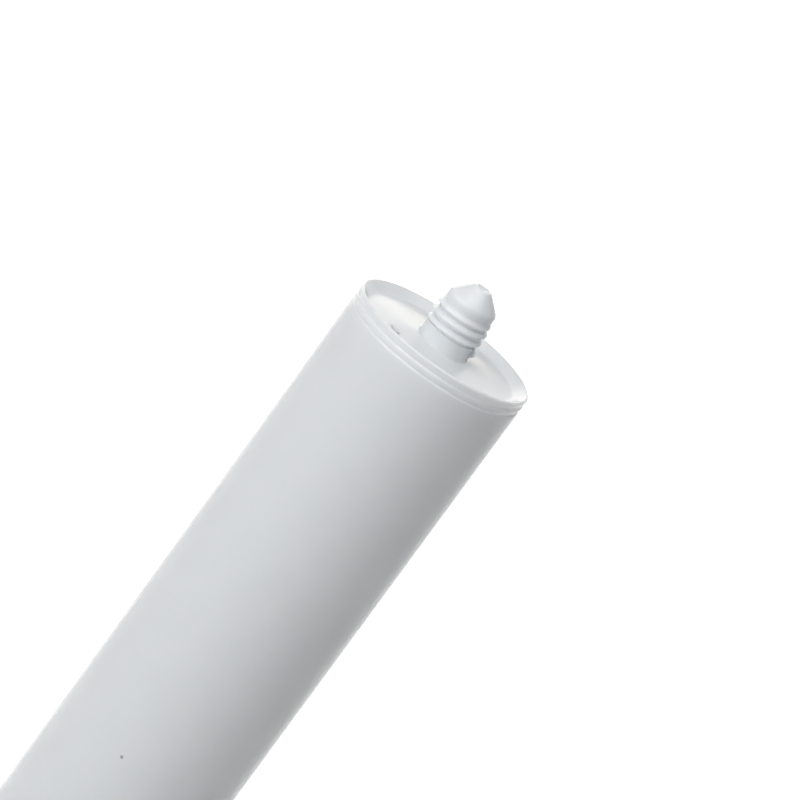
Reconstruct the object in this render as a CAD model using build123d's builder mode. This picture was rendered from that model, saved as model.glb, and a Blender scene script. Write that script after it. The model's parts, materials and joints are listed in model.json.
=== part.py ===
"""Caulk cartridge, in mm. It stands upright on its open back end, with +Z towards the nozzle."""

import os
from math import asin, cos, radians, sin, tan

from build123d import *

os.makedirs("parts", exist_ok=True)

# driving dimensions of the barrel
BARREL_LENGTH = 200.0  # back rim to the top of the lip
BARREL_R = 24.85
BARREL_WALL = 1.55
LEAD_IN_WIDENING = 0.2  # the mouth that the gun's plunger disc enters is this much wider
LEAD_IN_LENGTH = 8.0
LEAD_IN_TAPER = 0.5
BACK_EDGE = 0.35

# head, as heights above the top of the lip
LIP_BEVEL = 0.35
LIP_WIDTH = 0.4
GROOVE_DEPTH = 0.3
UPPER_GROOVE = -1.65
LOWER_GROOVE = -3.5
BEADS_END = -4.0
RECESS_FLARE = 2.4  # how much wider the recess is at the lip than at the shoulder
SHOULDER_FOOT = -3.1
SHOULDER_SLOPE = 10.0  # degrees
SHOULDER_CORNER = 0.6  # chamfer all round the shoulder's foot
HEAD_WALL = 1.9

# threaded spout that the nozzle screws onto
THREAD_R = 7.65
THREAD_DEPTH = 1.0
THREAD_PITCH = 2.5
THREAD_ROOT = 0.25  # how far the swept thread reaches into the core
THREAD_ROOT_HALF_WIDTH = 1.05
THREAD_CREST_HALF_WIDTH = 0.2
THREAD_EDGE = 0.27  # the bevel that rounds the crest
THREAD_FRONT_CREST = 8.6  # height of a crest on the side that faces -Y
THREAD_FADE_IN = 1.0  # height over which the crest grows out of the boss
THREAD_FULL_TO = 8.3
THREAD_FADE_OUT = 3.2
BOSS_STEP = 0.35  # boss radius over the thread's core
BOSS_TOP = 2.3
BOSS_FOOT_FILLET = 1.2
SPOUT_TOP = 16.3
TIP_R = 2.45
CONE_HALF_ANGLE = 45.0
CONE_SHOULDER_FILLET = 1.6
TIP_FILLET = 0.45
DIMPLE_RIM = 0.75  # flat ring between the tip's edge and its dimple
DIMPLE_DEPTH = 0.5
CHANNEL_WALL = 1.65
TIP_WALL = 1.2
CONE_WALL = 1.5

# raised moulding mark on the shoulder: two short bars, each given by how far its two ends
# lie inside the shoulder's foot and by their angles left of the front, in degrees
MARK_BARS = [((3.8, 51.8), (4.7, 45.2)), ((6.5, 50.4), (4.9, 36.9))]
MARK_WIDTH = 0.7
MARK_HEIGHT = 0.25

# piston
PISTON_BACK = 9.0
SKIRT_LENGTH = 17.0
RUNNING_CLEARANCE = 0.1  # between the sealing lips and the bore
SKIRT_CLEARANCE = 0.45
PISTON_WALL = 1.5
SEAL_LIP_HEIGHT = 1.4
SEAL_LIP_FLANK = 0.8
PISTON_CENTRE_R = 5.0
RING_R = 10.0
RING_WALL = 1.3
RING_LENGTH = 11.0
RIB_COUNT = 8
RIB_WIDTH = 1.2
RIB_LENGTH = 8.5

# filling
FILL_CLEARANCE = 0.2  # between the sealant and the piston's front

LIP_Z = BARREL_LENGTH
BORE_R = BARREL_R - BARREL_WALL
LEAD_IN_R = BORE_R + LEAD_IN_WIDENING
LIP_OUTER_R = BARREL_R - LIP_BEVEL
LIP_INNER_R = LIP_OUTER_R - LIP_WIDTH
SHOULDER_R = LIP_INNER_R - RECESS_FLARE
CORE_R = THREAD_R - THREAD_DEPTH
BOSS_R = CORE_R + BOSS_STEP
CHANNEL_R = CORE_R - CHANNEL_WALL
DIMPLE_R = TIP_R - DIMPLE_RIM
THREAD_FULL_FROM = BOSS_TOP + THREAD_FADE_IN
THREAD_END = THREAD_FULL_TO + THREAD_FADE_OUT
SLOPE = tan(radians(SHOULDER_SLOPE))
GROOVE_R = BARREL_R - GROOVE_DEPTH
SHOULDER_TOP = SHOULDER_FOOT + (SHOULDER_R - BOSS_R) * SLOPE
CONE_RISE = 1 / tan(radians(CONE_HALF_ANGLE))
CONE_FOOT = SPOUT_TOP - (CORE_R - TIP_R) * CONE_RISE
HEAD_INSIDE_Z = LIP_Z + SHOULDER_FOOT - (BORE_R - SHOULDER_R) * SLOPE - HEAD_WALL
CHANNEL_FOOT_Z = HEAD_INSIDE_Z + (BORE_R - CHANNEL_R) * SLOPE
CHANNEL_END_Z = LIP_Z + SPOUT_TOP - DIMPLE_DEPTH - TIP_WALL
CHANNEL_CONE_SHIFT = CONE_WALL * 2**0.5
CHANNEL_END_R = TIP_R + (SPOUT_TOP + LIP_Z - CHANNEL_END_Z) / CONE_RISE - CHANNEL_CONE_SHIFT
CHANNEL_CONE_Z = CHANNEL_END_Z - (CHANNEL_R - CHANNEL_END_R) * CONE_RISE
PISTON_EDGE_Z = PISTON_BACK + SKIRT_LENGTH
SKIRT_R = BORE_R - SKIRT_CLEARANCE
SKIRT_INNER_R = SKIRT_R - PISTON_WALL
SEAL_LIP_R = BORE_R - RUNNING_CLEARANCE


def head_point(radius, height):
    return (radius, LIP_Z + height)


def round_corners(sketch, corners):
    for point, radius in corners:
        vertex = sketch.vertices().sort_by_distance(point)[0]
        fillet(vertex, radius=radius)


def inside_line():
    """The cartridge's inside, from the bore up to the closed tip."""
    return [
        (BORE_R, HEAD_INSIDE_Z),
        (CHANNEL_R, CHANNEL_FOOT_Z),
        (CHANNEL_R, CHANNEL_CONE_Z),
        (CHANNEL_END_R, CHANNEL_END_Z),
        (0, CHANNEL_END_Z),
    ]


def bead(low, high):
    """A bead between two grooves, as a low crown of two slopes and a flat."""
    height = high - low
    return [
        head_point(GROOVE_R, low),
        head_point(BARREL_R, low + 0.3 * height),
        head_point(BARREL_R, low + 0.7 * height),
        head_point(GROOVE_R, high),
    ]


def dimple_point(share):
    """A point on the dimple's round floor, a share of the way from its centre to its edge."""
    ball_r = (DIMPLE_R**2 + DIMPLE_DEPTH**2) / (2 * DIMPLE_DEPTH)
    angle = asin(DIMPLE_R / ball_r) * share
    return head_point(ball_r * sin(angle), SPOUT_TOP - DIMPLE_DEPTH + ball_r * (1 - cos(angle)))


def body_profile():
    boss_foot = head_point(BOSS_R, SHOULDER_TOP)
    shoulder_foot = head_point(SHOULDER_R, SHOULDER_FOOT)
    cone_foot = head_point(CORE_R, CONE_FOOT)
    tip_edge = head_point(TIP_R, SPOUT_TOP)
    with BuildSketch(Plane.XZ) as sketch:
        with BuildLine():
            Polyline(
                (0, CHANNEL_END_Z),
                *reversed(inside_line()[:-1]),
                (BORE_R, LEAD_IN_LENGTH + LEAD_IN_TAPER),
                (LEAD_IN_R, LEAD_IN_LENGTH),
                (LEAD_IN_R, 0),
                (BARREL_R - BACK_EDGE, 0),
                (BARREL_R, BACK_EDGE),
                head_point(BARREL_R, BEADS_END),
                head_point(GROOVE_R, LOWER_GROOVE),
            )
            Polyline(
                *bead(LOWER_GROOVE, UPPER_GROOVE),
                *bead(UPPER_GROOVE, 0)[1:-1],
                head_point(LIP_OUTER_R, 0),
            )
            Polyline(
                head_point(LIP_OUTER_R, 0),
                head_point(LIP_INNER_R, 0),
                shoulder_foot,
                boss_foot,
                head_point(BOSS_R, BOSS_TOP),
                head_point(CORE_R, BOSS_TOP),
                cone_foot,
                tip_edge,
                head_point(DIMPLE_R, SPOUT_TOP),
            )
            ThreePointArc(
                head_point(DIMPLE_R, SPOUT_TOP),
                dimple_point(0.5),
                dimple_point(0),
            )
            Line(head_point(0, SPOUT_TOP - DIMPLE_DEPTH), (0, CHANNEL_END_Z))
        make_face()
        round_corners(
            sketch,
            [
                (boss_foot, BOSS_FOOT_FILLET),
                (cone_foot, CONE_SHOULDER_FILLET),
                (tip_edge, TIP_FILLET),
            ],
        )
        chamfer(sketch.vertices().sort_by_distance(shoulder_foot)[0], length=SHOULDER_CORNER)
    return sketch.sketch


def fade_end(start_r, start, full):
    """Where a fade line, drawn on past the full crest, leaves the thread clear of the trim."""
    past_crest = 0.35
    return head_point(
        THREAD_R + past_crest,
        full + (full - start) * past_crest / (THREAD_R - start_r),
    )


def thread():
    """A right-hand rounded thread whose crest fades into the boss below and the cone above."""
    turns_to_x_axis = 0.25
    first_crest = THREAD_FRONT_CREST + (turns_to_x_axis - 3) * THREAD_PITCH
    last_crest = THREAD_END + THREAD_PITCH / 2
    middle = LIP_Z + first_crest
    section = [
        (CORE_R - THREAD_ROOT, middle - THREAD_ROOT_HALF_WIDTH),
        (THREAD_R - THREAD_EDGE, middle - THREAD_CREST_HALF_WIDTH - THREAD_EDGE),
        (THREAD_R, middle - THREAD_CREST_HALF_WIDTH),
    ]
    with BuildPart() as swept:
        with BuildLine() as path:
            Helix(
                pitch=THREAD_PITCH,
                height=last_crest - first_crest,
                radius=CORE_R,
                center=(0, 0, LIP_Z + first_crest),
            )
        with BuildSketch(Plane.XZ):
            with BuildLine():
                Polyline(
                    *section,
                    *[(radius, 2 * middle - height) for radius, height in reversed(section)],
                    close=True,
                )
            make_face()
        sweep(path=path.line, is_frenet=True)
        with BuildSketch(Plane.XZ):
            Polygon(
                head_point(0, BOSS_TOP - 1),
                head_point(CORE_R + 0.1, BOSS_TOP - 1),
                head_point(BOSS_R - 0.05, BOSS_TOP),
                fade_end(BOSS_R - 0.05, BOSS_TOP, THREAD_FULL_FROM),
                fade_end(CORE_R, THREAD_END, THREAD_FULL_TO),
                head_point(CORE_R, THREAD_END),
                head_point(CORE_R - THREAD_ROOT, THREAD_END + 0.3),
                head_point(0, THREAD_END + 0.3),
                align=None,
            )
        revolve(axis=Axis.Z, mode=Mode.INTERSECT)
    return swept.part


def shoulder_place(inset, degrees_left):
    """A point on the shoulder; the front faces -Y and left is seen from outside."""
    turn = Vector(0, inset - SHOULDER_R, 0).rotate(Axis.Z, -degrees_left)
    return turn + Vector(0, 0, LIP_Z + SHOULDER_FOOT + inset * SLOPE)


def mark_bar(ends):
    start, end = (shoulder_place(*place) for place in ends)
    middle = (start + end) / 2
    outward = Vector(middle.X, middle.Y, 0).normalized()
    up = Vector(0, 0, 1) + outward * SLOPE
    along = end - start
    place = Plane(origin=middle, x_dir=along, z_dir=along.cross(up.cross(along)))
    return place * Box(along.length + MARK_WIDTH, MARK_WIDTH, 2 * MARK_HEIGHT)


# the union is only sound with the seam of the revolved surface away from the thread's start
SEAM_TURN = 40.0
shell = revolve(body_profile(), axis=Axis.Z).rotate(Axis.Z, SEAM_TURN)
mark = [mark_bar(ends) for ends in MARK_BARS]
spout_thread = thread()
with BuildPart() as cartridge_body:
    add(shell)
    for bar in mark:
        add(bar)
    add(spout_thread)
cartridge_body.part.label = "cartridge_body"
export_step(cartridge_body.part, "parts/cartridge_body.step")


def front_z(radius):
    """The piston's conical front, parallel to the inside of the head."""
    return PISTON_EDGE_Z + (BORE_R - max(radius, PISTON_CENTRE_R)) * SLOPE


def seal_lip(base_z):
    return [
        (SKIRT_R, base_z + SEAL_LIP_HEIGHT + SEAL_LIP_FLANK),
        (SEAL_LIP_R, base_z + SEAL_LIP_HEIGHT),
        (SEAL_LIP_R, base_z),
    ]


def under_front(radius):
    return (radius, front_z(radius) - PISTON_WALL)


def rib(turn):
    """A radial web under the front, from the ring to the skirt, that reaches into both."""
    reach = 0.3
    near, far = RING_R - reach, SKIRT_INNER_R + reach
    with BuildPart() as web:
        with BuildSketch(Plane.XZ):
            Polygon(
                (near, front_z(near) - PISTON_WALL + reach),
                (far, front_z(far) - PISTON_WALL + reach),
                (far, front_z(far) - PISTON_WALL - RIB_LENGTH),
                (near, front_z(far) - PISTON_WALL - RIB_LENGTH),
                align=None,
            )
        extrude(amount=RIB_WIDTH / 2, both=True)
    return web.part.rotate(Axis.Z, turn)


RING_BACK_Z = front_z(RING_R) - PISTON_WALL - RING_LENGTH
FRONT_LIP_Z = PISTON_EDGE_Z - SEAL_LIP_HEIGHT
ribs = [rib(360 * (index + 0.5) / RIB_COUNT) for index in range(RIB_COUNT)]

with BuildPart() as piston:
    with BuildSketch(Plane.XZ):
        Polygon(
            (0, front_z(0)),
            (PISTON_CENTRE_R, front_z(0)),
            (SEAL_LIP_R, front_z(SEAL_LIP_R)),
            (SEAL_LIP_R, FRONT_LIP_Z),
            (SKIRT_R, FRONT_LIP_Z - SEAL_LIP_FLANK),
            *seal_lip(PISTON_BACK),
            (SKIRT_INNER_R, PISTON_BACK),
            under_front(SKIRT_INNER_R),
            under_front(RING_R),
            (RING_R, RING_BACK_Z),
            (RING_R - RING_WALL, RING_BACK_Z),
            under_front(RING_R - RING_WALL),
            under_front(PISTON_CENTRE_R),
            under_front(0),
            align=None,
        )
    revolve(axis=Axis.Z)
    for web in ribs:
        add(web)
piston.part.label = "piston"
export_step(piston.part, "parts/piston.step")


with BuildPart() as sealant:
    with BuildSketch(Plane.XZ):
        Polygon(
            (0, front_z(0) + FILL_CLEARANCE),
            (PISTON_CENTRE_R, front_z(0) + FILL_CLEARANCE),
            (BORE_R, front_z(BORE_R) + FILL_CLEARANCE),
            *inside_line(),
            align=None,
        )
    revolve(axis=Axis.Z)
sealant.part.label = "sealant"
export_step(sealant.part, "parts/sealant.step")
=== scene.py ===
import json
import math

import bmesh
import bpy
from mathutils import Matrix, Vector


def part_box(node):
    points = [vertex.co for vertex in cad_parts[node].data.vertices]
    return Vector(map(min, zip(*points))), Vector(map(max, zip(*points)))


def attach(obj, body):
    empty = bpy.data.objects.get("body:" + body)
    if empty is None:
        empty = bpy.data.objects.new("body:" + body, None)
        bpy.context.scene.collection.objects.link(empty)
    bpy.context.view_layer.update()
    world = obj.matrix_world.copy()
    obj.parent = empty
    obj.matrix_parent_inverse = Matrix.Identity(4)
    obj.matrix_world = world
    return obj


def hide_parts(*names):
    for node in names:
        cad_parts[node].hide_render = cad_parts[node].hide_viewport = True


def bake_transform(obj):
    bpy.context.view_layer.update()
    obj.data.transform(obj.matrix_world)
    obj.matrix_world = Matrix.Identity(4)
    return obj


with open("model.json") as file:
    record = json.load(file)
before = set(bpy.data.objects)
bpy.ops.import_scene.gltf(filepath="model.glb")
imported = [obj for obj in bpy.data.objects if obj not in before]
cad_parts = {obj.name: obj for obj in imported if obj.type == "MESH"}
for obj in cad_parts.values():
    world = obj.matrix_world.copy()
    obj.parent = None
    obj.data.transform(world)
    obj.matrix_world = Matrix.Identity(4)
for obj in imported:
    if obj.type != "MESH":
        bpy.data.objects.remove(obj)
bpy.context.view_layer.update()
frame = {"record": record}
mm = 0.001

# sizes that the frame holds
mounts = {mount["name"]: mount for mount in frame["record"]["mounts"]}
barrelR = mounts["barrel_outside"]["dims"]["r_mm"] * mm
mouthR = mounts["plunger_mouth"]["dims"]["r_mm"] * mm
mouthDepth = mounts["plunger_mouth"]["dims"]["length_mm"] * mm
lipZ = mounts["front_lip"]["pos_m"][2]
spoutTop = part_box("cartridge_body")[1].z - lipZ
pistonBack, pistonTop = (corner.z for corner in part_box("piston"))
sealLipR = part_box("piston")[1].x
print("frame loaded, barrel radius", round(barrelR / mm, 2), "mm")


# outlines are lists of (radius, height), with a third number where a corner is rounded

def inMetres(sizes):
    return {name: size * mm for name, size in sizes.items()}


def rounded(outline, steps=5):
    line = []
    for i, (radius, height, *cut) in enumerate(outline):
        corner = Vector((radius, height))
        if not cut:
            line.append(corner)
            continue
        start, end = [
            corner + (Vector(outline[j][:2]) - corner).normalized() * cut[0]
            for j in (i - 1, i + 1)
        ]
        for k in range(steps + 1):
            t = k / steps
            line.append((1 - t) ** 2 * start + 2 * t * (1 - t) * corner + t * t * end)
    return line


def evenly(start, end, count):
    return [tuple(Vector(start).lerp(Vector(end), k / count)) for k in range(count + 1)]


def atHead(radius, height):
    return radius, lipZ + height


# node helpers

def addNode(tree, kind, **values):
    made = tree.nodes.new(kind)
    for name, value in values.items():
        setattr(made, name, value)
    return made


def feed(tree, socket, value):
    if isinstance(value, bpy.types.NodeSocket):
        tree.links.new(value, socket)
    else:
        socket.default_value = value


def calc(tree, operation, *values):
    made = addNode(tree, "ShaderNodeMath", operation=operation)
    for socket, value in zip(made.inputs, values):
        feed(tree, socket, value)
    return made.outputs[0]


def joined(tree, x=0.0, y=0.0, z=0.0):
    made = addNode(tree, "ShaderNodeCombineXYZ")
    for socket, value in zip(made.inputs, (x, y, z)):
        feed(tree, socket, value)
    return made.outputs[0]


def split(tree, vector):
    made = addNode(tree, "ShaderNodeSeparateXYZ")
    tree.links.new(vector, made.inputs[0])
    return made.outputs


def fade(tree, value, start, end, low=0.0, high=1.0, smooth=True):
    made = addNode(tree, "ShaderNodeMapRange")
    made.interpolation_type = "SMOOTHSTEP" if smooth else "LINEAR"
    names = ("Value", "From Min", "From Max", "To Min", "To Max")
    for name, given in zip(names, (value, start, end, low, high)):
        feed(tree, made.inputs[name], given)
    return made.outputs["Result"]


def newTree(name, inputs):
    tree = bpy.data.node_groups.new(name, "GeometryNodeTree")
    tree.interface.new_socket("Geometry", in_out="INPUT", socket_type="NodeSocketGeometry")
    for label, kind in inputs:
        tree.interface.new_socket(label, in_out="INPUT", socket_type="NodeSocket" + kind)
    tree.interface.new_socket("Geometry", in_out="OUTPUT", socket_type="NodeSocketGeometry")
    return tree, addNode(tree, "NodeGroupInput").outputs, addNode(tree, "NodeGroupOutput").inputs


def closeTree(tree, geometry, material, result):
    real = addNode(tree, "GeometryNodeRealizeInstances")
    paint = addNode(tree, "GeometryNodeSetMaterial")
    tree.links.new(geometry, real.inputs["Geometry"])
    tree.links.new(real.outputs["Geometry"], paint.inputs["Geometry"])
    tree.links.new(material, paint.inputs["Material"])
    tree.links.new(paint.outputs["Geometry"], result["Geometry"])


def giveTree(obj, tree, **values):
    modifier = obj.modifiers.new(tree.name, "NODES")
    modifier.node_group = tree
    wanted = {name.replace("_", " ").lower(): value for name, value in values.items()}
    for item in tree.interface.items_tree:
        if item.in_out == "INPUT" and item.name.lower() in wanted:
            modifier[item.identifier] = wanted[item.name.lower()]


# a shell of revolution whose outline comes in as a row of points, with an optional rounded thread

weldGap = 0.004 * mm
noThread = {"Thread_Pitch": 1.0, "Root_Share": 0.5, "Fade_In_End": 1.0, "Fade_Out_End": 1.0}


def makeSpunTree():
    tree, given, result = newTree("spunShell", [
        ("Segments", "Int"), ("Material", "Material"),
        ("Thread Depth", "Float"), ("Thread Pitch", "Float"), ("Front Crest", "Float"),
        ("Crest Share", "Float"), ("Root Share", "Float"), ("Thread Inside", "Float"),
        ("Fade In Start", "Float"), ("Fade In End", "Float"),
        ("Fade Out Start", "Float"), ("Fade Out End", "Float"),
    ])
    count = addNode(tree, "GeometryNodeAttributeDomainSize", component="MESH")
    tree.links.new(given["Geometry"], count.inputs["Geometry"])
    points = count.outputs["Point Count"]

    # a flat grid, one column to a segment and one row to a point of the outline
    grid = addNode(tree, "GeometryNodeMeshGrid")
    feed(tree, grid.inputs["Size X"], 1.0)
    feed(tree, grid.inputs["Size Y"], 1.0)
    feed(tree, grid.inputs["Vertices X"], calc(tree, "ADD", given["Segments"], 1))
    feed(tree, grid.inputs["Vertices Y"], points)
    place = addNode(tree, "GeometryNodeInputPosition").outputs[0]
    flat = split(tree, place)
    around = calc(tree, "MULTIPLY", calc(tree, "ADD", flat["X"], 0.5), 2 * math.pi)
    lastPoint = calc(tree, "SUBTRACT", points, 1)
    along = calc(tree, "MULTIPLY", calc(tree, "ADD", flat["Y"], 0.5), lastPoint)
    sample = addNode(tree, "GeometryNodeSampleIndex", data_type="FLOAT_VECTOR")
    tree.links.new(given["Geometry"], sample.inputs["Geometry"])
    tree.links.new(place, sample.inputs["Value"])
    tree.links.new(calc(tree, "ROUND", along), sample.inputs["Index"])
    outline = split(tree, sample.outputs[0])
    radius, height = outline["X"], outline["Z"]

    # how far each point is from the thread's crest, in turns
    fromFront = calc(tree, "DIVIDE", calc(tree, "ADD", around, math.pi / 2), 2 * math.pi)
    aboveCrest = calc(tree, "SUBTRACT", height, given["Front Crest"])
    phase = calc(tree, "SUBTRACT", calc(tree, "DIVIDE", aboveCrest, given["Thread Pitch"]), fromFront)
    turn = calc(tree, "FRACT", calc(tree, "ADD", phase, 0.5))
    away = calc(tree, "ABSOLUTE", calc(tree, "SUBTRACT", turn, 0.5))
    crest = fade(tree, away, given["Crest Share"], given["Root Share"], 1.0, 0.0)
    grows = fade(tree, height, given["Fade In Start"], given["Fade In End"])
    ends = fade(tree, height, given["Fade Out Start"], given["Fade Out End"], 1.0, 0.0)
    outside = calc(tree, "GREATER_THAN", radius, given["Thread Inside"])
    risen = calc(tree, "MULTIPLY", crest, grows)
    relief = calc(tree, "MULTIPLY", risen, calc(tree, "MULTIPLY", ends, outside))
    reach = calc(tree, "MULTIPLY_ADD", relief, given["Thread Depth"], radius)

    x = calc(tree, "MULTIPLY", reach, calc(tree, "COSINE", around))
    y = calc(tree, "MULTIPLY", reach, calc(tree, "SINE", around))
    move = addNode(tree, "GeometryNodeSetPosition")
    tree.links.new(grid.outputs["Mesh"], move.inputs["Geometry"])
    tree.links.new(joined(tree, x, y, height), move.inputs["Position"])
    weld = addNode(tree, "GeometryNodeMergeByDistance")
    tree.links.new(move.outputs["Geometry"], weld.inputs["Geometry"])
    feed(tree, weld.inputs["Distance"], weldGap)
    closeTree(tree, weld.outputs["Geometry"], given["Material"], result)
    return tree


# copies of one rib, evenly round the axis and half a step off the X axis
def makeRibTree():
    tree, given, result = newTree("radialRibs", [
        ("Rib", "Object"), ("Count", "Int"), ("Material", "Material"),
    ])
    spots = addNode(tree, "GeometryNodePoints")
    feed(tree, spots.inputs["Count"], given["Count"])
    rib = addNode(tree, "GeometryNodeObjectInfo")
    tree.links.new(given["Rib"], rib.inputs["Object"])
    number = calc(tree, "ADD", addNode(tree, "GeometryNodeInputIndex").outputs[0], 0.5)
    share = calc(tree, "DIVIDE", number, given["Count"])
    copies = addNode(tree, "GeometryNodeInstanceOnPoints")
    tree.links.new(spots.outputs[0], copies.inputs["Points"])
    tree.links.new(rib.outputs["Geometry"], copies.inputs["Instance"])
    tree.links.new(joined(tree, z=calc(tree, "MULTIPLY", share, 2 * math.pi)), copies.inputs["Rotation"])
    join = addNode(tree, "GeometryNodeJoinGeometry")
    tree.links.new(copies.outputs[0], join.inputs[0])
    tree.links.new(given["Geometry"], join.inputs[0])
    closeTree(tree, join.outputs[0], given["Material"], result)
    return tree


# mesh helpers

def newPiece(name, mesh):
    piece = bpy.data.objects.new(name, mesh)
    bpy.context.scene.collection.objects.link(piece)
    return piece


def plainMesh(name, verts, faces=()):
    mesh = bpy.data.meshes.new(name)
    mesh.from_pydata([tuple(vert) for vert in verts], [], list(faces))
    return mesh


def outlinePiece(name, outline):
    return newPiece(name, plainMesh(name, [(radius, 0, height) for radius, height in outline]))


def giveBevel(piece, width, segments):
    rounding = piece.modifiers.new("bevel", "BEVEL")
    rounding.width, rounding.segments = width, segments


# turns a piece with its modifiers into a plain mesh, smooth but for its sharp edges
def settle(piece, sharpDegrees=38):
    mesh = bpy.data.meshes.new_from_object(piece.evaluated_get(bpy.context.evaluated_depsgraph_get()))
    piece.modifiers.clear()
    piece.data = mesh
    mesh.name = piece.name
    mesh.shade_smooth()
    mesh.set_sharp_from_angle(angle=math.radians(sharpDegrees))
    return piece


# materials

def newGroup(name, inputs, outputs):
    tree = bpy.data.node_groups.new(name, "ShaderNodeTree")
    for label, kind, value in inputs:
        socket = tree.interface.new_socket(label, in_out="INPUT", socket_type="NodeSocket" + kind)
        socket.default_value = value
    for label, kind in outputs:
        tree.interface.new_socket(label, in_out="OUTPUT", socket_type="NodeSocket" + kind)
    return tree, addNode(tree, "NodeGroupInput").outputs, addNode(tree, "NodeGroupOutput").inputs


def useGroup(tree, group, **values):
    made = addNode(tree, "ShaderNodeGroup", node_tree=group)
    for name, value in values.items():
        feed(tree, made.inputs[name], value)
    return made.outputs


def noise(tree, place, scale, detail=2.0, roughness=0.5):
    made = addNode(tree, "ShaderNodeTexNoise")
    values = (("Vector", place), ("Scale", scale), ("Detail", detail), ("Roughness", roughness))
    for name, value in values:
        feed(tree, made.inputs[name], value)
    return made.outputs["Fac"]


# the skin of a moulded piece: slow waves from cooling, a fine grain, and a tone that drifts a little

skinForm = {
    "waveScale": 55, "grainScale": 2600, "cloudScale": 120, "waveHeight": 0.5, "grainHeight": 0.012,
    "glossDrift": (-0.03, 0.04), "toneDrift": (0.985, 1.0),
}


def makeSkinGroup():
    tree, given, result = newGroup("mouldedSkin", [
        ("Place", "Vector", (0, 0, 0)), ("Gloss", "Float", 0.35),
        ("Wave", "Float", 1.0), ("Grain", "Float", 1.0),
    ], [("Roughness", "Float"), ("Height", "Float"), ("Tone", "Float")])
    waves = noise(tree, given["Place"], skinForm["waveScale"], 1.0)
    grain = noise(tree, given["Place"], skinForm["grainScale"], 2.0, 0.6)
    cloud = noise(tree, given["Place"], skinForm["cloudScale"], 3.0)
    grainShare = calc(tree, "MULTIPLY", given["Grain"], skinForm["grainHeight"])
    swell = calc(tree, "MULTIPLY", calc(tree, "MULTIPLY", waves, given["Wave"]), skinForm["waveHeight"])
    drift = fade(tree, cloud, 0.3, 0.7, *skinForm["glossDrift"])
    feed(tree, result["Height"], calc(tree, "MULTIPLY_ADD", grain, grainShare, swell))
    feed(tree, result["Roughness"], calc(tree, "ADD", given["Gloss"], drift))
    feed(tree, result["Tone"], fade(tree, waves, 0.25, 0.75, *skinForm["toneDrift"]))
    return tree


# a small ragged spot round one place

spotForm = {"rimScale": 3000, "rimShare": 0.8, "softShare": 1.5}


def makeSpotGroup():
    tree, given, result = newGroup("spot", [
        ("Place", "Vector", (0, 0, 0)), ("Centre", "Vector", (0, 0, 0)), ("Radius", "Float", 0.0005),
    ], [("Mask", "Float")])
    gap = addNode(tree, "ShaderNodeVectorMath", operation="DISTANCE")
    tree.links.new(given["Place"], gap.inputs[0])
    tree.links.new(given["Centre"], gap.inputs[1])
    rim = noise(tree, given["Place"], spotForm["rimScale"], 2.0)
    rimWidth = calc(tree, "MULTIPLY", given["Radius"], spotForm["rimShare"])
    ragged = calc(tree, "MULTIPLY_ADD", rim, rimWidth, gap.outputs["Value"])
    outerR = calc(tree, "MULTIPLY", given["Radius"], spotForm["softShare"])
    feed(tree, result["Mask"], fade(tree, ragged, given["Radius"], outerR, 1.0, 0.0))
    return tree


def newMaterial(name):
    material = bpy.data.materials.new(name)
    material.use_nodes = True
    tree = material.node_tree
    place = addNode(tree, "ShaderNodeTexCoord").outputs["Object"]
    return material, tree, tree.nodes["Principled BSDF"].inputs, place


def mixed(tree, share, first, second, way="MIX"):
    made = addNode(tree, "ShaderNodeMix", data_type="RGBA", blend_type=way)
    for socket, value in zip((made.inputs[0], made.inputs[6], made.inputs[7]), (share, first, second)):
        feed(tree, socket, value)  # inputs 6 and 7 are the two colours
    return made.outputs[2]


def bumped(tree, shader, height, strength, distance):
    made = addNode(tree, "ShaderNodeBump")
    feed(tree, made.inputs["Height"], height)
    feed(tree, made.inputs["Strength"], strength)
    feed(tree, made.inputs["Distance"], distance)
    tree.links.new(made.outputs[0], shader["Normal"])


def onBarrel(degreesLeft, belowLip):
    turn = math.radians(degreesLeft)
    return -barrelR * math.sin(turn), -barrelR * math.cos(turn), lipZ - belowLip * mm


def inRecess(x, y, belowLip=2.0):
    return x * mm, y * mm, lipZ - belowLip * mm


skinGroup = makeSkinGroup()
spotGroup = makeSpotGroup()
plasticIor = 1.5

# glow is the share of light that scatters inside the plastic, glowDepth how far it gets
shellFinish = {
    "colour": (0.885, 0.91, 0.93, 1), "gloss": 0.14,
    "glow": 0.85, "glowTint": (1.0, 0.95, 0.9), "glowDepth": 3.0 * mm,
    "bump": 0.25, "bumpDepth": 0.25 * mm,
    "speckColour": (0.42, 0.41, 0.40, 1),
    "specks": [
        (onBarrel(10, 128.7), 0.5 * mm), (onBarrel(17, 3.7), 0.22 * mm), (onBarrel(-7, 1.7), 0.2 * mm),
    ],
    "ripples": [(inRecess(-12.3, 8.5), 2.2 * mm), (inRecess(12.0, 4.0), 2.2 * mm)],
    "rippleScale": 700, "rippleHeight": 0.6,
}


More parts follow.
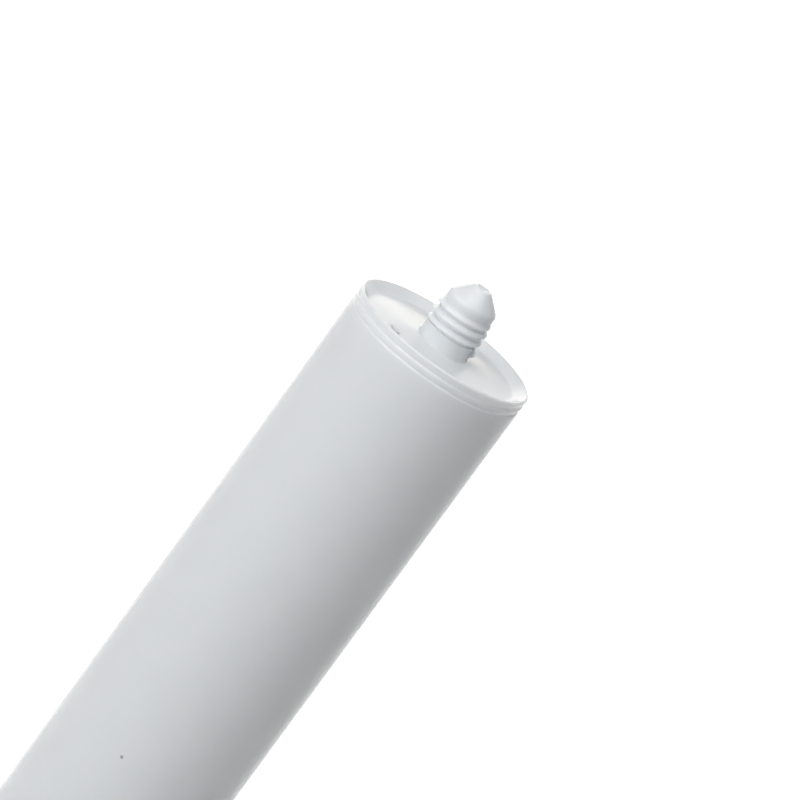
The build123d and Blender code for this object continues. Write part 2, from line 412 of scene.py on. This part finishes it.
def makeShellPlastic(finish):
    material, tree, shader, place = newMaterial("shellPlastic")
    skin = useGroup(tree, skinGroup, Place=place, Gloss=finish["gloss"])
    colour, height = mixed(tree, 1.0, finish["colour"], skin["Tone"], "MULTIPLY"), skin["Height"]
    for centre, radius in finish["specks"]:
        speck = useGroup(tree, spotGroup, Place=place, Centre=centre, Radius=radius)["Mask"]
        colour = mixed(tree, speck, colour, finish["speckColour"])
    for centre, radius in finish["ripples"]:
        patch = useGroup(tree, spotGroup, Place=place, Centre=centre, Radius=radius)["Mask"]
        ripple = calc(tree, "MULTIPLY", patch, noise(tree, place, finish["rippleScale"], 1.0))
        height = calc(tree, "MULTIPLY_ADD", ripple, finish["rippleHeight"], height)
    feed(tree, shader["Base Color"], colour)
    feed(tree, shader["Roughness"], skin["Roughness"])
    feed(tree, shader["IOR"], plasticIor)
    feed(tree, shader["Subsurface Weight"], finish["glow"])
    feed(tree, shader["Subsurface Radius"], finish["glowTint"])
    feed(tree, shader["Subsurface Scale"], finish["glowDepth"])
    bumped(tree, shader, height, finish["bump"], finish["bumpDepth"])
    return material


pistonFinish = {
    "colour": (0.74, 0.745, 0.73, 1), "gloss": 0.48, "wave": 0.6, "grain": 2.0,
    "bump": 0.3, "bumpDepth": 0.25 * mm,
}


def makePistonPlastic(finish):
    material, tree, shader, place = newMaterial("pistonPlastic")
    skin = useGroup(
        tree, skinGroup, Place=place, Gloss=finish["gloss"], Wave=finish["wave"], Grain=finish["grain"],
    )
    feed(tree, shader["Base Color"], mixed(tree, 1.0, finish["colour"], skin["Tone"], "MULTIPLY"))
    feed(tree, shader["Roughness"], skin["Roughness"])
    feed(tree, shader["IOR"], plasticIor)
    bumped(tree, shader, skin["Height"], finish["bump"], finish["bumpDepth"])
    return material


pasteFinish = {
    "colour": (0.86, 0.855, 0.83, 1), "foldScale": 90, "foldTone": (0.96, 1.0), "roughness": (0.22, 0.32),
    "bump": 0.4, "bumpDepth": 0.6 * mm,
}


def makePaste(finish):
    material, tree, shader, place = newMaterial("sealantPaste")
    folds = noise(tree, place, finish["foldScale"], 3.0)
    tone = fade(tree, folds, 0.3, 0.7, *finish["foldTone"])
    feed(tree, shader["Base Color"], mixed(tree, 1.0, finish["colour"], tone, "MULTIPLY"))
    feed(tree, shader["Roughness"], fade(tree, folds, 0.2, 0.8, *finish["roughness"]))
    bumped(tree, shader, folds, finish["bump"], finish["bumpDepth"])
    return material


shellPlastic = makeShellPlastic(shellFinish)
pistonPlastic = makePistonPlastic(pistonFinish)
paste = makePaste(pasteFinish)
print("materials made")


# the cartridge's body, one shell from the tip of its channel round the back rim to the dimple

spunTree = makeSpunTree()

# heights are from the lip's top, and an edge is the rounding where two faces meet
shell = inMetres({
    "wall": 1.55, "backBevel": 0.35, "mouthTaper": 0.5, "backEdge": 0.1, "mouthEdge": 0.15,
    "rowsFrom": 5.0, "rowsTo": -8.0,
    "lipBevel": 0.35, "lipWidth": 0.3, "lipEdge": 0.12, "recessFlare": 2.5,
    "grooveDepth": 0.34, "grooveStep": 0.45, "upperGroove": -2.05, "lowerGroove": -3.95, "grooveEdge": 0.1,
    "shoulderFoot": -2.05, "shoulderCorner": 0.9, "headInside": -5.28,
    "coreR": 6.65, "bossStep": 0.35, "bossTop": 2.5, "bossFoot": 0.9, "bossEdge": 0.12,
    "threadGap": 0.1, "coneCorner": 0.8,
    "tipR": 2.45, "tipRound": 0.45, "dimpleR": 1.7, "dimpleDepth": 0.5,
    "channelR": 5.0, "tipWall": 1.2, "coneWall": 1.5,
})
shoulderSlope = math.tan(math.radians(2))
insideSlope = math.tan(math.radians(10))  # the head's underside and the piston's front
shellCounts = {"segments": 256, "barrelRows": 24, "threadRows": 130, "dimpleRows": 8, "swellRows": 8}
grooveTurn = {"shares": (0.2, 0.5, 0.8, 1.0), "power": 1.3}
boreR = barrelR - shell["wall"]
lipOuterR = barrelR - shell["lipBevel"]
lipInnerR = lipOuterR - shell["lipWidth"]
shoulderR = lipInnerR - shell["recessFlare"]


# a bead swells out slowly above its groove
def beadSwell(low, high):
    for k in range(shellCounts["swellRows"] + 1):
        share = k / shellCounts["swellRows"]
        yield atHead(barrelR - shell["grooveDepth"] * (1 - share) ** 2, low + (high - low) * share)


# and turns in steeply at its top
def beadTurn(low):
    for share in grooveTurn["shares"]:
        inward = shell["grooveDepth"] * share ** grooveTurn["power"]
        yield atHead(barrelR - inward, low + shell["grooveStep"] * share)


def insideOutline():
    channelFoot = shell["headInside"] + (boreR - shell["channelR"]) * insideSlope
    channelEnd = spoutTop - shell["dimpleDepth"] - shell["tipWall"]
    channelEndR = shell["tipR"] + spoutTop - channelEnd - shell["coneWall"] * math.sqrt(2)
    return [
        atHead(0, channelEnd),
        atHead(channelEndR, channelEnd),
        atHead(shell["channelR"], channelEnd - shell["channelR"] + channelEndR),
        atHead(shell["channelR"], channelFoot),
        atHead(boreR, shell["headInside"]),
    ]


def barrelOutline():
    lowerTop = shell["upperGroove"] - shell["grooveStep"]
    return [
        (boreR, mouthDepth + shell["mouthTaper"]),
        (mouthR, mouthDepth),
        (mouthR, 0, shell["mouthEdge"]),
        (barrelR - shell["backBevel"], 0, shell["backEdge"]),
        (barrelR, shell["backBevel"], shell["backEdge"]),
        *evenly((barrelR, shell["rowsFrom"]), atHead(barrelR, shell["rowsTo"]), shellCounts["barrelRows"]),
        atHead(barrelR, shell["lowerGroove"] - shell["grooveStep"]) + (shell["grooveEdge"],),
        *beadSwell(shell["lowerGroove"], lowerTop),
        *beadTurn(lowerTop),
        *list(beadSwell(shell["upperGroove"], -shell["lipBevel"]))[1:],  # its first point is the groove's
    ]


def headOutline():
    coreR, bossR = shell["coreR"], shell["coreR"] + shell["bossStep"]
    shoulderTop = shell["shoulderFoot"] + (shoulderR - bossR) * shoulderSlope
    coneFoot = spoutTop - (coreR - shell["tipR"])
    threadFrom = shell["bossTop"] + shell["threadGap"]
    threadTo = coneFoot - shell["coneCorner"] - shell["threadGap"]
    return [
        atHead(lipOuterR, 0) + (shell["lipEdge"],),
        atHead(lipInnerR, 0) + (shell["lipEdge"],),
        atHead(shoulderR, shell["shoulderFoot"]) + (shell["shoulderCorner"],),
        atHead(bossR, shoulderTop) + (shell["bossFoot"],),
        atHead(bossR, shell["bossTop"]) + (shell["bossEdge"],),
        *evenly(atHead(coreR, threadFrom), atHead(coreR, threadTo), shellCounts["threadRows"]),
        atHead(coreR, coneFoot) + (shell["coneCorner"],),
        atHead(shell["tipR"], spoutTop) + (shell["tipRound"],),
    ]


# part of a ball's underside, from its rim to the axis
def dimpleOutline():
    ballR = (shell["dimpleR"] ** 2 + shell["dimpleDepth"] ** 2) / (2 * shell["dimpleDepth"])
    rimTurn = math.asin(shell["dimpleR"] / ballR)
    for k in range(shellCounts["dimpleRows"], -1, -1):
        turn = rimTurn * k / shellCounts["dimpleRows"]
        rise = ballR * (1 - math.cos(turn))
        yield atHead(ballR * math.sin(turn), spoutTop - shell["dimpleDepth"] + rise)


thread = {
    "depth": 0.9 * mm, "pitch": 2.5 * mm, "frontCrest": 8.6 * mm, "crestShare": 0.02, "rootShare": 0.5,
    "fadeIn": (2.4 * mm, 3.4 * mm), "fadeOut": (7.8 * mm, 10.2 * mm), "onlyPast": 0.9 * shell["coreR"],
}

shellPiece = outlinePiece(
    "cartridgeShell", rounded(insideOutline() + barrelOutline() + headOutline() + list(dimpleOutline())),
)
giveTree(
    shellPiece, spunTree, Segments=shellCounts["segments"], Material=shellPlastic,
    Thread_Depth=thread["depth"], Thread_Pitch=thread["pitch"], Front_Crest=lipZ + thread["frontCrest"],
    Crest_Share=thread["crestShare"], Root_Share=thread["rootShare"], Thread_Inside=thread["onlyPast"],
    Fade_In_Start=lipZ + thread["fadeIn"][0], Fade_In_End=lipZ + thread["fadeIn"][1],
    Fade_Out_Start=lipZ + thread["fadeOut"][0], Fade_Out_End=lipZ + thread["fadeOut"][1],
)
settle(shellPiece)
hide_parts("cartridge_body")
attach(shellPiece, "barrel")
print("shell made,", len(shellPiece.data.polygons), "faces")


# the raised moulding mark: two short bars on the shoulder, each from (x, y) to (x, y) in mm

mark = {
    "bars": [((-15.0, -12.6), (-13.0, -13.6)), ((-12.4, -11.4), (-10.8, -14.0))],
    "width": 1.0 * mm, "height": 0.4 * mm, "bevel": 0.15 * mm, "bevelSteps": 3, "sharp": 60,
}


def onShoulder(x, y):
    rise = (shoulderR - math.hypot(x, y)) * shoulderSlope
    return Vector((x, y, lipZ + shell["shoulderFoot"] + rise))


def makeMark():
    form = bmesh.new()
    for ends in mark["bars"]:
        start, end = [onShoulder(x * mm, y * mm) for x, y in ends]
        middle, along = (start + end) / 2, end - start
        outward = Vector((middle.x, middle.y, 0)).normalized()
        up = (Vector((0, 0, 1)) + outward * shoulderSlope).normalized()
        across = up.cross(along).normalized()
        turn = Matrix((along.normalized(), across, up)).transposed().to_4x4()
        size = Matrix.Diagonal((along.length + mark["width"], mark["width"], 2 * mark["height"], 1))
        bmesh.ops.create_cube(form, size=1, matrix=Matrix.Translation(middle) @ turn @ size)
    mesh = bpy.data.meshes.new("mouldingMark")
    form.to_mesh(mesh)
    form.free()
    mesh.materials.append(shellPlastic)
    piece = newPiece("mouldingMark", mesh)
    giveBevel(piece, mark["bevel"], mark["bevelSteps"])
    return settle(piece, mark["sharp"])


markPiece = makeMark()
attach(markPiece, "barrel")
print("moulding mark made")


# the thread's blunt start, a tooth that stands out on the right above the boss

tooth = inMetres({"rootR": 6.5, "peakR": 8.45, "top": 3.1, "middle": 0.8, "foot": -0.4, "weld": 0.01})
toothTurn = {"middle": 8, "halfSpread": 30, "steps": 12, "sharp": 60}  # in degrees from the right


def makeTooth():
    verts, faces = [], []
    for k in range(toothTurn["steps"] + 1):
        share = 2 * k / toothTurn["steps"] - 1
        turn = math.radians(toothTurn["middle"] + share * toothTurn["halfSpread"])
        peakR = tooth["rootR"] + (tooth["peakR"] - tooth["rootR"]) * (1 - share ** 2)
        section = (tooth["rootR"], tooth["foot"]), (peakR, tooth["middle"]), (tooth["rootR"], tooth["top"])
        for radius, height in section:
            verts.append((radius * math.cos(turn), radius * math.sin(turn), lipZ + height))
    for low in range(0, 3 * toothTurn["steps"], 3):
        for side, beside in ((0, 1), (1, 2), (2, 0)):
            faces.append((low + side, low + 3 + side, low + 3 + beside, low + beside))
    piece = newPiece("threadStart", plainMesh("threadStart", verts, faces))
    form = bmesh.new()
    form.from_mesh(piece.data)
    bmesh.ops.remove_doubles(form, verts=form.verts, dist=tooth["weld"])
    bmesh.ops.recalc_face_normals(form, faces=form.faces)
    form.to_mesh(piece.data)
    form.free()
    piece.data.materials.append(shellPlastic)
    return settle(piece, toothTurn["sharp"])


toothPiece = makeTooth()
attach(toothPiece, "barrel")
print("thread start made")


# the piston, spun and then given its ribs

piston = inMetres({
    "skirtGap": 0.45, "wall": 1.5, "edge": 0.3, "centreR": 5.0,
    "sealLip": 1.4, "sealFlank": 0.8, "sealEdge": 0.15,
    "ringR": 10.0, "ringWall": 1.3, "ringLength": 11.0,
    "ribWidth": 1.2, "ribLength": 8.5, "ribSink": 0.3, "ribUnder": 1.2, "ribBevel": 0.2,
})
pistonCounts = {"segments": 160, "ribs": 8, "bevelSteps": 2, "ribSharp": 60}
pistonEdge = pistonTop - (boreR - piston["centreR"]) * insideSlope
skirtR = boreR - piston["skirtGap"]


def frontZ(radius, below=0.0):
    return pistonEdge + (boreR - max(radius, piston["centreR"])) * insideSlope - below


def pistonOutline():
    inner = skirtR - piston["wall"]
    under, edge, sealEdge = piston["wall"], piston["edge"], piston["sealEdge"]
    ringInner = piston["ringR"] - piston["ringWall"]
    ringBack = frontZ(piston["ringR"], under) - piston["ringLength"]
    frontLip = pistonEdge - piston["sealLip"]
    return rounded([
        (0, frontZ(0, under)),
        (piston["centreR"], frontZ(0, under)),
        (ringInner, frontZ(ringInner, under), edge),
        (ringInner, ringBack, edge),
        (piston["ringR"], ringBack, edge),
        (piston["ringR"], frontZ(piston["ringR"], under), edge),
        (inner, frontZ(inner, under), edge),
        (inner, pistonBack, edge),
        (sealLipR, pistonBack, edge),
        (sealLipR, pistonBack + piston["sealLip"], sealEdge),
        (skirtR, pistonBack + piston["sealLip"] + piston["sealFlank"], edge),
        (skirtR, frontLip - piston["sealFlank"], edge),
        (sealLipR, frontLip, sealEdge),
        (sealLipR, frontZ(sealLipR), edge),
        (piston["centreR"], frontZ(0)),
        (0, frontZ(0)),
    ])


def makeRib():
    near, far = piston["ringR"] - piston["ribSink"], skirtR - piston["wall"] + piston["ribSink"]
    half, under = piston["ribWidth"] / 2, piston["ribUnder"]
    low = frontZ(far, piston["wall"]) - piston["ribLength"]
    corners = [(near, low), (far, low), (far, frontZ(far, under)), (near, frontZ(near, under))]
    verts = [(x, y, z) for y in (-half, half) for x, z in corners]
    faces = [(0, 1, 2, 3), (7, 6, 5, 4), (0, 4, 5, 1), (1, 5, 6, 2), (2, 6, 7, 3), (3, 7, 4, 0)]
    rib = newPiece("ribPattern", plainMesh("ribPattern", verts, faces))
    giveBevel(rib, piston["ribBevel"], pistonCounts["bevelSteps"])
    return settle(rib, pistonCounts["ribSharp"])


ribPattern = makeRib()
pistonPiece = outlinePiece("pistonShell", pistonOutline())
giveTree(pistonPiece, spunTree, Segments=pistonCounts["segments"], Material=pistonPlastic, **noThread)
giveTree(pistonPiece, makeRibTree(), Rib=ribPattern, Count=pistonCounts["ribs"], Material=pistonPlastic)
settle(pistonPiece)
bpy.data.objects.remove(ribPattern)
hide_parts("piston")
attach(pistonPiece, "piston")
print("piston made,", len(pistonPiece.data.polygons), "faces")


# the filling, whose underside follows the piston's front face and whose top follows the head's inside

filling = inMetres({"clearance": 0.2, "wallGap": 0.03})
fillingSegments = 96


def fillingOutline():
    top, gap, above = insideOutline(), filling["wallGap"], -filling["clearance"]
    outerR = boreR - gap
    return rounded([
        (0, frontZ(0, above)),
        (piston["centreR"], frontZ(0, above)),
        (outerR, frontZ(outerR, above)),
        *[(max(radius - gap, 0), height - gap) for radius, height in reversed(top)],
    ])


fillingPiece = outlinePiece("sealantFilling", fillingOutline())
giveTree(fillingPiece, spunTree, Segments=fillingSegments, Material=paste, **noThread)
settle(fillingPiece)
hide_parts("sealant")
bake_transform(fillingPiece)
print("filling made")


# floor, light and camera

stageSet = {
    "floorSize": 6.0, "floorTone": 0.8, "floorGlow": 0.75, "sky": 0.0,
    "aim": (0, 0, 0.2), "distance": 1.8,
    "lights": [  # name, direction, size, turn in degrees, power, colour
        ("leftLight", (-0.62, -0.62, 0.48), (2.0, 2.0), 0, 21.0, (0.98, 0.99, 1.0)),
        ("highLight", (0, -0.5, 0.866), (2.0, 2.0), 0, 14.0, (0.98, 0.99, 1.0)),
        ("topLight", (0, -0.02, 1.0), (2.0, 2.0), 0, 8.8, (1.0, 1.0, 1.0)),
        ("backPanel", (-0.2212, 0.9738, 0.0541), (1.86, 1.07), 50.6, 5.0, (1.0, 0.93, 0.82)),
    ],
}


# 1 where a ray comes from the camera or by way of a mirror or glass, so that these show the white
def straightRay(tree):
    seen = addNode(tree, "ShaderNodeLightPath").outputs
    passed = calc(tree, "MAXIMUM", seen["Is Glossy Ray"], seen["Is Transmission Ray"])
    return calc(tree, "MAXIMUM", seen["Is Camera Ray"], passed)


def makeFloor():
    side = stageSet["floorSize"] / 2
    corners = [(-side, -side, 0), (side, -side, 0), (side, side, 0), (-side, side, 0)]
    floor = newPiece("floor", plainMesh("floor", corners, [(0, 1, 2, 3)]))
    material = bpy.data.materials.new("floorPaint")
    material.use_nodes = True
    tree = material.node_tree
    tree.nodes.remove(tree.nodes["Principled BSDF"])
    paint = addNode(tree, "ShaderNodeBsdfDiffuse")
    feed(tree, paint.inputs["Color"], (stageSet["floorTone"],) * 3 + (1,))
    glow = addNode(tree, "ShaderNodeEmission")
    feed(tree, glow.inputs["Strength"], calc(tree, "MULTIPLY", straightRay(tree), stageSet["floorGlow"]))
    both = addNode(tree, "ShaderNodeAddShader")
    tree.links.new(paint.outputs[0], both.inputs[0])
    tree.links.new(glow.outputs[0], both.inputs[1])
    tree.links.new(both.outputs[0], tree.nodes["Material Output"].inputs["Surface"])
    floor.data.materials.append(material)


def makeSky():
    world = bpy.data.worlds.new("sky")
    bpy.context.scene.world = world
    world.use_nodes = True
    tree = world.node_tree
    sky = tree.nodes["Background"]
    feed(tree, sky.inputs["Color"], (1, 1, 1, 1))
    strength = fade(tree, straightRay(tree), 0, 1, stageSet["sky"], 1.0, smooth=False)
    feed(tree, sky.inputs["Strength"], strength)


def makeLight(name, direction, size, turn, power, colour):
    lamp = bpy.data.lights.new(name, "AREA")
    lamp.shape, lamp.energy, lamp.color = "RECTANGLE", power, colour
    lamp.size, lamp.size_y = size
    light = bpy.data.objects.new(name, lamp)
    bpy.context.scene.collection.objects.link(light)
    way = Vector(direction).normalized()
    light.location = Vector(stageSet["aim"]) + way * stageSet["distance"]
    facing = way.to_track_quat("Z", "Y").to_matrix() @ Matrix.Rotation(math.radians(turn), 3, "Z")
    light.rotation_euler = facing.to_euler()


# where the photograph was taken from: the lip's centre in camera space, tilt and roll
cameraSet = {
    "lens": 263.4, "sensor": 36, "clip": (0.05, 50),
    "lipInView": Vector((11.30, 14.57, -1440)) * mm, "tilt": 15.371, "roll": 36.011,
}


def makeCamera():
    data = bpy.data.cameras.new("camera")
    data.lens, data.sensor_width = cameraSet["lens"], cameraSet["sensor"]
    data.clip_start, data.clip_end = cameraSet["clip"]
    camera = bpy.data.objects.new("camera", data)
    bpy.context.scene.collection.objects.link(camera)
    tilt = Matrix.Rotation(math.radians(90 - cameraSet["tilt"]), 3, "X")
    turn = tilt @ Matrix.Rotation(math.radians(cameraSet["roll"]), 3, "Z")
    camera.rotation_euler = turn.to_euler()
    camera.location = Vector((0, 0, lipZ)) - turn @ cameraSet["lipInView"]
    bpy.context.scene.camera = camera


makeFloor()
makeSky()
for light in stageSet["lights"]:
    makeLight(*light)
makeCamera()
bpy.context.scene.view_settings.view_transform = "Standard"

print("stage set")
